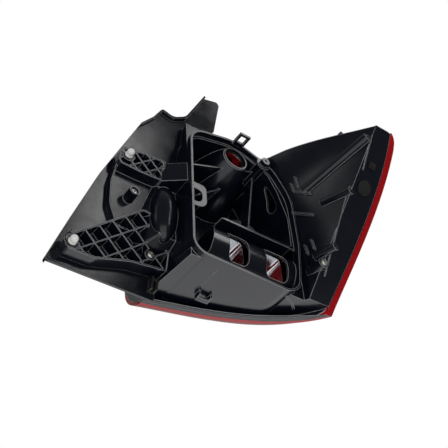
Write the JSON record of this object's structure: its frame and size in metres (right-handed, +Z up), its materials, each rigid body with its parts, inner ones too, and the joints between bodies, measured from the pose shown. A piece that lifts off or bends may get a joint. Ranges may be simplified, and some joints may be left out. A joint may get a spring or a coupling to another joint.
{
  "type": "tail light cluster",
  "caption": "Car tail lamp cluster: red wraparound lens on a black moulded housing with an open bulb recess, lattice arms with ball studs and a screwed-on inboard panel.",
  "frame": {"origin": "centre of the seat under the lower ball stud", "axes": "+X outboard across the car, +Y rearward through the lens, +Z up"},
  "size_m": [0.3439, 0.2699, 0.2888],
  "materials": {
    "red_lens": "clear red acrylic, polished",
    "clear_lens": "clear acrylic, polished",
    "black_plastic": "moulded black plastic, semi-gloss",
    "black_gloss": "moulded black plastic, glossy",
    "white_nylon": "natural nylon, smooth",
    "screw_steel": "zinc plated steel",
    "reflector_chrome": "vacuum metallised plastic, bright"
  },
  "bodies": {
    "root": {"outer_lens": "red_lens", "clear_band": "clear_lens", "reflex_reflector": "red_lens", "housing": "black_plastic", "inboard_panel": "black_gloss", "ball_stud_lower": "white_nylon", "ball_stud_upper": "white_nylon", "panel_screw_lower": "screw_steel", "panel_screw_upper": "screw_steel", "reflector_screw": "screw_steel", "breather_cap": "black_plastic", "push_clip": "black_plastic", "upper_reflector": "reflector_chrome", "lower_inboard_reflector": "reflector_chrome", "lower_outboard_reflector": "reflector_chrome", "centre_reflector": "reflector_chrome", "bezel": "reflector_chrome", "snap_clip": "black_plastic", "edge_clip": "black_plastic"}
  },
  "joints": []
}
